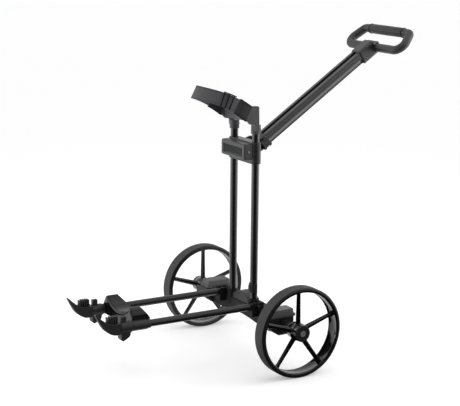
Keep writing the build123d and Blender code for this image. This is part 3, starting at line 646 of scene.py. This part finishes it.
class TROLLEY_OT_strap(bpy.types.Operator):
    """Woven strap with stitched edges, its rubber mounts, the buckle and the cradle pad"""
    bl_idname = "trolley.strap"
    bl_label = "Bag strap"

    def execute(self, context):
        sizes = context.scene.trolley_strap
        self.band(sizes)
        self.stitches(sizes)
        for side, sign in SIDES:
            self.mount(side, sign)
        self.buckle()
        self.pad()
        return {"FINISHED"}

    def band(self, sizes):
        bm = bmesh.new()
        bmesh.ops.create_grid(bm, x_segments=84, y_segments=6, size=0.5)
        for vert in bm.verts:
            vert.co = strap_spot((vert.co.x + 0.5) * STRAP_LENGTH, vert.co.y * sizes.width, 0.0)[0]
        piece = finished(
            "woven_strap", bm, "webbing_finish", "frame", ["bag_strap"], uv=strap_uv)
        wall = piece.modifiers.new("thickness", "SOLIDIFY")
        wall.thickness = sizes.thickness
        wall.offset = 0.0
        rounding = piece.modifiers.new("edge", "BEVEL")
        rounding.width = sizes.thickness * 0.3
        rounding.segments = 2
        rounding.limit_method = "ANGLE"
        rounding.angle_limit = math.radians(50)

    def stitches(self, sizes):
        """Thread dashes along both edges of the strap."""
        bm = bmesh.new()
        pitch, margin = sizes.stitch * 1.5, 0.006
        for k in range(int((STRAP_LENGTH - 2 * margin) / pitch)):
            for up in (-0.42, 0.42):
                place = strap_place(margin + k * pitch, up * sizes.width, sizes.thickness / 2 + 0.0001)
                verts = brick(bm, place, (sizes.stitch, 0.0009, 0.0007))
                ends = [e for e in edges_of(verts) if e.calc_length() < 0.0008]
                soften(bm, ends, 0.0003, 1)
        finished("strap_stitches", bm, "soft_finish", "frame")

    def mount(self, side, sign):
        """Tapered rubber tongue from the ear to the strap."""
        node = "strap_mount_" + side
        root_wide, root_thick = 0.0465, 0.010
        bm = bmesh.new()
        verts = bmesh.ops.create_cube(bm, size=1.0)["verts"]
        lengthwise = [e for e in edges_of(verts) if abs(e.verts[0].co.y - e.verts[1].co.y) > 0.5]
        bmesh.ops.subdivide_edges(bm, edges=lengthwise, cuts=9, use_grid_fill=True)
        for vert in bm.verts:
            t = vert.co.y + 0.5
            swell = 1.0 - 0.16 * math.cos(math.tau * t)
            wide = root_wide * (1.0 - 0.02 * math.sin(math.pi * t))
            thick = (root_thick + 0.001 * t) * swell * 0.93
            x = EAR_HALF + (LOOP_HALF - EAR_HALF) * t + vert.co.x * thick
            vert.co = strap_point(sign * x, (MOUNT_REACH - 0.0002) * t, vert.co.z * wide)
        rails = [e for e in bm.edges if e.calc_face_angle(0.0) > 0.8 and abs(
            e.verts[0].co.y - e.verts[1].co.y) > 0.003]
        soften(bm, rails, 0.0026, 3)
        finished("shaped_" + node, bm, "soft_finish", "frame", [node], sharp=50.0)

    def bent_bar(self, bm, start, end, up, wide, lift, deep, round_off):
        """Bar that follows the strap between two lengths."""
        before = set(bm.verts)
        verts = bmesh.ops.create_cube(bm, size=1.0)["verts"]
        lengthwise = [e for e in edges_of(verts) if abs(e.verts[0].co.x - e.verts[1].co.x) > 0.5]
        bmesh.ops.subdivide_edges(bm, edges=lengthwise, cuts=7, use_grid_fill=True)
        verts = [v for v in bm.verts if v not in before]
        for vert in verts:
            along = start + (end - start) * (vert.co.x + 0.5)
            vert.co = strap_spot(along, up + vert.co.y * wide, lift + (vert.co.z + 0.5) * deep)[0]
        rails = [e for e in edges_of(verts) if e.calc_face_angle(0.0) > 0.8]
        soften(bm, rails, round_off, 2)

    def buckle(self):
        """Ladder buckle: a bent plate with rails and rounded bars."""
        bm = bmesh.new()
        near = STRAP_RUN + STRAP_ARC
        reach = 0.488 * LOOP_HALF
        self.bent_bar(bm, near - reach, near - 0.0005, 0.0, 0.0500, 0.0021, 0.0056, 0.0012)
        for up in (-0.0238, 0.0238):
            self.bent_bar(bm, near - reach, near - 0.0006, up, 0.0030, 0.0040, 0.0062, 0.0009)
        for turn in (4.0, 14.0, 24.0):
            bar = strap_place(near - math.radians(turn) * LOOP_HALF, 0.0, 0.0085)
            soften(bm, edges_of(brick(bm, bar, (0.0038, 0.0490, 0.0048))), 0.0015, 3)
        finished("ladder_buckle", bm, "beam_finish", "frame", ["strap_buckle"])

    def pad(self):
        """Cradle pad: a crowned rubber lining with shallow channels."""
        lo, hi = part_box("cradle_pad")
        back, back_y, half_wide, edge = 0.117, -0.021, 0.0758, 0.0008
        centre = Vector((0.0, back_y - back, 0.0))
        reach = math.asin(half_wide / (back - 0.0025))
        outline = [(back - 0.0002, lo.z), (back - 0.0002, hi.z), (back - 0.0020, hi.z)]
        for k in range(17):
            t = k / 16
            channel = 0.0007 if k in (4, 8, 12) else 0.0
            crown = 0.0018 * math.sin(math.pi * t) ** 0.6
            outline.append((back - 0.0030 - crown + channel, hi.z - edge - t * (hi.z - lo.z - 2 * edge)))
        outline.append((back - 0.0020, lo.z))
        bm = bmesh.new()
        start = Matrix.Rotation(-reach, 3, "Z")
        points = []
        for r, z in outline:
            rim = start @ Vector((0.0, r, 0.0))
            points.append(centre + Vector((rim.x, rim.y, z)))
        spin_loop(bm, points, centre, Vector((0, 0, 1)), 40, angle=2 * reach)
        piece = finished("lined_cradle_pad", bm, "lining_finish", "frame", ["cradle_pad"])


# Handle grip

class TROLLEY_OT_grip(bpy.types.Operator):
    """Soft grip round the handle bar, with a collar at each end"""
    bl_idname = "trolley.grip"
    bl_label = "Grip"

    def execute(self, context):
        middle, size = node_middle("grip"), node_size("grip")
        half, collar = size.x / 2, size.z / 2
        body, bore = collar - 0.0010, collar - 0.0030
        end = [(half, bore), (half, collar - 0.0012), (half - 0.0010, collar),
               (half - 0.0040, collar), (half - 0.0050, collar - 0.0006),
               (half - 0.0054, body - 0.0006), (half - 0.0064, body - 0.0006), (half - 0.0076, body)]
        waist = [(half * 0.5, body + 0.0002), (0.0, body + 0.0004), (-half * 0.5, body + 0.0002)]
        outline = end + waist + [(-x, r) for x, r in reversed(end)]
        bm = bmesh.new()
        spin_loop(bm, [middle + Vector((x, 0.0, r)) for x, r in outline], middle, ACROSS, 64)
        piece = finished("soft_grip", bm, "grip_finish", "handle", ["grip"], sharp=45.0)
        return {"FINISHED"}


# Claw pads

class TROLLEY_OT_claw_pads(bpy.types.Operator):
    """Ribbed rubber pads on top of the claws"""
    bl_idname = "trolley.claw_pads"
    bl_label = "Claw pads"

    def execute(self, context):
        for side, _ in SIDES:
            node = "claw_pad_" + side
            lo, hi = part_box(node)
            middle, size = (lo + hi) / 2, hi - lo
            bm = bmesh.new()
            slit, ribs, rib_share, end_drop = 0.0065, 5, 0.46, 0.0016
            core_top = hi.z - slit
            place = Matrix.Translation((middle.x, middle.y, (lo.z + core_top) / 2))
            core = brick(bm, place, (size.x - 2 * slit, size.y - slit, core_top - lo.z))
            soften(bm, edges_of(core), 0.002, 3)
            pitch = size.y / ribs
            for k in range(ribs):
                top = hi.z - (end_drop if k in (0, ribs - 1) else 0.0)
                place = Matrix.Translation((middle.x, lo.y + pitch * (k + 0.5), (lo.z + top) / 2))
                rib = brick(bm, place, (size.x, pitch * rib_share, top - lo.z))
                soften(bm, edges_of(rib), 0.0012, 3)
            piece = finished("ribbed_" + node, bm, "pad_finish", side + "_claw", [node])
        return {"FINISHED"}


# Fasteners

SHANK_R, HEAD_R, SOCKET_R = 0.0025, 0.0045, 0.0019


def socket_screw(bm, place, depth, height):
    """Button-head screw with a six-sided recess; +Z of its place points out of the seat."""
    steps = ((SHANK_R, -depth, 20), (SHANK_R, 0.0, 20), (HEAD_R, 0.0, 36), (HEAD_R, 0.4 * height, 36),
             (0.9 * HEAD_R, 0.78 * height, 36), (0.7 * HEAD_R, height, 36), (SOCKET_R, height, 6),
             (0.95 * SOCKET_R, 0.3 * height, 6))
    ring_stack(bm, [(place @ Matrix.Translation((0.0, 0.0, z)), r, n) for r, z, n in steps])


class TROLLEY_OT_fasteners(bpy.types.Operator):
    """Socket screws in the clamp and the yoke, and headed hinge pins"""
    bl_idname = "trolley.fasteners"
    bl_label = "Fasteners"

    def execute(self, context):
        self.clamp_screws()
        self.yoke_screws()
        self.hinge_pins()
        return {"FINISHED"}

    def clamp_screws(self):
        middle, height = node_middle("clamp_screws"), 0.0022
        seat_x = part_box("clamp_screws")[1].x - height
        bm = bmesh.new()
        for _, sign in SIDES:
            seat = Matrix.Translation((sign * seat_x, middle.y, middle.z))
            socket_screw(bm, seat @ Matrix.Rotation(sign * math.tau / 4, 4, "Y"), 0.014, height)
        finished("clamp_socket_screws", bm, "steel_finish", "frame", ["clamp_screws"])

    def yoke_screws(self):
        middle, height = node_middle("yoke_screws"), 0.0025
        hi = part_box("yoke_screws")[1]
        bm = bmesh.new()
        for _, sign in SIDES:
            seat = Matrix.Translation((sign * (hi.x - HEAD_R), hi.y - height, middle.z))
            socket_screw(bm, seat @ Matrix.Rotation(-math.tau / 4, 4, "X"), 0.0033, height)
        finished("yoke_socket_screws", bm, "steel_finish", "frame", ["yoke_screws"])

    def hinge_pins(self):
        """Pins with a thin head inside the hinge block and a dished one outside."""
        centre = node_middle("pivot_pins")
        centre.x = 0.0
        block_lo, block_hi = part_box("pivot_block_left")
        inner, outer, end = block_lo.x, block_hi.x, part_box("pivot_pins")[1].x
        head, pin, eye = node_size("pivot_pins").z / 2, 0.004, 0.0012
        outline = [(inner - 0.0025, eye), (inner - 0.0025, head - 0.0022), (inner - 0.0015, head - 0.0010),
                   (inner, head - 0.0010), (inner, pin), (outer, pin), (outer, head),
                   (end - 0.0010, head), (end, head - 0.0014), (end, 0.0034), (end - 0.0012, 0.0026),
                   (end - 0.0012, eye)]
        bm = bmesh.new()
        for _, sign in SIDES:
            spin_loop(bm, [centre + Vector((sign * x, 0.0, r)) for x, r in outline], centre, ACROSS, 40)
        finished("headed_pivot_pins", bm, "pin_finish", "frame", ["pivot_pins"])


# Finishes of the CAD nodes

SLOT_FINISH = {
    "tube_black": "tube_finish_z", "frame_black": "moulded_finish", "gloss_black": "gloss_finish",
    "rim_black": "rim_finish", "tyre_rubber": "tyre_finish", "soft_rubber": "soft_finish",
    "loop_black": "loop_finish", "strap_web": "webbing_finish", "bright_steel": "steel_finish"}
NODE_FINISH = {
    "lower_tube_left": "tube_finish_y", "lower_tube_right": "tube_finish_y", "handle_shaft": "shaft_finish",
    "axle_beam": "beam_finish", "pivot_block_left": "beam_finish", "pivot_block_right": "beam_finish",
    "handle_block": "block_finish", "saddle": "saddle_finish",
    "front_cover": "cover_finish", "clamp_body": "clamp_finish", "cradle_yoke": "yoke_finish",
    "claw_left": "claw_finish", "claw_right": "claw_finish",
    "cuff_left": "claw_finish", "cuff_right": "claw_finish", "name_panel": "panel_finish",
    "bonnet_left": "bonnet_finish", "bonnet_right": "bonnet_finish",
    "hub_cap_left": "cap_finish", "hub_cap_right": "cap_finish",
    "release_button_left": "button_finish", "release_button_right": "button_finish"}


class TROLLEY_OT_finishes(bpy.types.Operator):
    """Give every CAD node its finish"""
    bl_idname = "trolley.finishes"
    bl_label = "Finishes"

    def execute(self, context):
        slot_of = {row["node"]: row["material_slot"] for row in frame["record"]["subparts"]}
        for name, node in frame["nodes"].items():
            look = finishes()[NODE_FINISH.get(name) or SLOT_FINISH[slot_of[name]]]
            for place in node.material_slots:
                place.material = look
        return {"FINISHED"}


# Stage

PHOTO_PLACE = Vector((3.7674, -2.2847, 1.4692))
PHOTO_TARGET = Vector((-0.12486, 0.0, 0.4824))
PHOTO_ROLL = math.radians(0.57)
PHOTO_LENS, PHOTO_SENSOR = 106.34, 36.0
LAMP_SIZE = (1.5, 1.8)


def picture_rays(tree, x, y):
    """Socket that is 1 for what is seen, also in a mirror or through glass, and 0 for plain light."""
    path = group_node(tree, "ShaderNodeLightPath", x, y)
    seen = group_node(tree, "ShaderNodeMath", x + 200, y, operation="MAXIMUM")
    clear = group_node(tree, "ShaderNodeMath", x + 400, y, operation="MAXIMUM")
    tree.links.new(path.outputs["Is Camera Ray"], seen.inputs[0])
    tree.links.new(path.outputs["Is Glossy Ray"], seen.inputs[1])
    tree.links.new(seen.outputs[0], clear.inputs[0])
    tree.links.new(path.outputs["Is Transmission Ray"], clear.inputs[1])
    return clear.outputs[0]


class TROLLEY_OT_stage(bpy.types.Operator):
    """Pale floor, soft lamps, white surroundings and the camera"""
    bl_idname = "trolley.stage"
    bl_label = "Stage"

    def execute(self, context):
        look = context.scene.trolley_stage
        self.floor(look)
        self.surroundings(look)
        self.sky_light(look.key)
        self.lamp("right_lamp", Vector((0.75, 1.95, 0.95)), Vector((0.0, 0.1, 0.6)), look.side_power)
        self.lamp("left_lamp", Vector((-1.15, -1.75, 0.95)), Vector((0.0, -0.1, 0.5)), look.side_power)
        self.flag("front_flag", -70.0, 10.0, far=4.5, tall=3.2)
        self.flag("right_flag", 10.0, 45.0, far=1.6, tall=0.1)
        self.camera()
        context.scene.view_settings.view_transform = "Standard"
        return {"FINISHED"}

    def floor(self, look):
        bm = bmesh.new()
        bmesh.ops.create_grid(bm, x_segments=8, y_segments=8, size=30.0)
        finish = Finish("floor_finish", tuple(look.floor), 0.9, specular=0.2)
        lift = group_node(finish.tree, "ShaderNodeMath", -200, -300, operation="MULTIPLY")
        lift.inputs[1].default_value = look.lift
        finish.tree.links.new(picture_rays(finish.tree, -800, -300), lift.inputs[0])
        finish.tree.links.new(lift.outputs[0], finish.shader.inputs["Emission Strength"])
        finish.shader.inputs["Emission Color"].default_value = (1.0, 1.0, 1.0, 1.0)
        placed("studio_floor", bm, finish.material)

    def surroundings(self, look):
        """White to the camera and in reflections, softer as light."""
        world = bpy.data.worlds.new("studio_world")
        world.use_nodes = True
        tree = world.node_tree
        sky = tree.nodes["Background"]
        sky.inputs["Color"].default_value = (1.0, 1.0, 1.0, 1.0)
        strength = group_node(tree, "ShaderNodeMapRange", -250, 0)
        strength.inputs["To Min"].default_value = look.ambient
        strength.inputs["To Max"].default_value = 1.0
        tree.links.new(picture_rays(tree, -900, 0), strength.inputs["Value"])
        tree.links.new(strength.outputs[0], sky.inputs["Strength"])
        bpy.context.scene.world = world

    def sky_light(self, strength):
        light = bpy.data.lights.new("overhead_light", "SUN")
        light.energy = strength
        light.angle = math.radians(70)
        lamp = bpy.data.objects.new("overhead_light", light)
        lamp.location = (0.5, -0.6, 3.0)
        lamp.rotation_euler = (math.radians(-14), math.radians(12), 0.0)
        bpy.context.scene.collection.objects.link(lamp)

    def flag(self, name, start, end, far, tall):
        """Dark card that only reflections see: on the floor between two angles from +X, then upright."""
        near, low = 0.1, 0.002
        bm = bmesh.new()
        turn = Matrix.Rotation(math.radians(start), 3, "Z")
        section = [turn @ Vector((r, 0.0, z)) for r, z in ((near, low), (far, low), (far, tall))]
        bmesh.ops.spin(
            bm, geom=loop_of(bm, section, closed=False), cent=(0, 0, 0), axis=(0, 0, 1), dvec=(0, 0, 0),
            angle=math.radians(end - start), steps=24, use_merge=False, use_duplicate=False)
        card = placed(name, bm, Finish(name + "_finish", (0.0, 0.0, 0.0), 1.0, specular=0.0).material)
        for kind in ("camera", "diffuse", "transmission", "volume_scatter", "shadow"):
            setattr(card, "visible_" + kind, False)

    def lamp(self, name, place, target, power):
        light = bpy.data.lights.new(name, "AREA")
        light.shape = "RECTANGLE"
        light.size, light.size_y = LAMP_SIZE
        light.energy = power
        lamp = bpy.data.objects.new(name, light)
        lamp.location = place
        lamp.rotation_euler = (target - place).to_track_quat("-Z", "Y").to_euler()
        lamp.visible_camera = False
        bpy.context.scene.collection.objects.link(lamp)

    def camera(self):
        lens = bpy.data.cameras.new("photo_camera")
        lens.sensor_width = PHOTO_SENSOR
        lens.lens = PHOTO_LENS
        viewer = bpy.data.objects.new("photo_camera", lens)
        turn = (PHOTO_TARGET - PHOTO_PLACE).to_track_quat("-Z", "Y").to_matrix()
        turn = turn @ Matrix.Rotation(PHOTO_ROLL, 3, "Z")
        viewer.matrix_world = Matrix.Translation(PHOTO_PLACE) @ turn.to_4x4()
        bpy.context.scene.collection.objects.link(viewer)
        bpy.context.scene.camera = viewer


# Add-on

OPERATORS = (
    TROLLEY_OT_finishes, TROLLEY_OT_tyres, TROLLEY_OT_rims, TROLLEY_OT_strap, TROLLEY_OT_grip,
    TROLLEY_OT_claw_pads, TROLLEY_OT_fasteners, TROLLEY_OT_stage)
GROUPS = {
    "trolley_wheels": WheelSettings, "trolley_strap": StrapSettings, "trolley_finish": FinishSettings,
    "trolley_stage": StageSettings}


class TROLLEY_PT_panel(bpy.types.Panel):
    """Lists the steps and sizes of the trolley"""
    bl_idname = "TROLLEY_PT_panel"
    bl_label = "Push trolley"
    bl_space_type = "VIEW_3D"
    bl_region_type = "UI"
    bl_category = "Trolley"

    def draw(self, context):
        for step in OPERATORS:
            self.layout.operator(step.bl_idname)
        for name, group in GROUPS.items():
            box = self.layout.box()
            for label in group.__annotations__:
                box.prop(getattr(context.scene, name), label)


def register():
    for name, group in GROUPS.items():
        bpy.utils.register_class(group)
        setattr(bpy.types.Scene, name, PointerProperty(type=group))
    for cls in (*OPERATORS, TROLLEY_PT_panel):
        bpy.utils.register_class(cls)


def unregister():
    for cls in (TROLLEY_PT_panel, *reversed(OPERATORS)):
        bpy.utils.unregister_class(cls)
    for name, group in GROUPS.items():
        delattr(bpy.types.Scene, name)
        bpy.utils.unregister_class(group)


def main():
    register()
    bpy.ops.trolley.finishes()
    bpy.ops.trolley.tyres()
    bpy.ops.trolley.rims()
    bpy.ops.trolley.strap()
    bpy.ops.trolley.grip()
    bpy.ops.trolley.claw_pads()
    bpy.ops.trolley.fasteners()
    bpy.ops.trolley.stage()


if __name__ == "__main__":
    main()
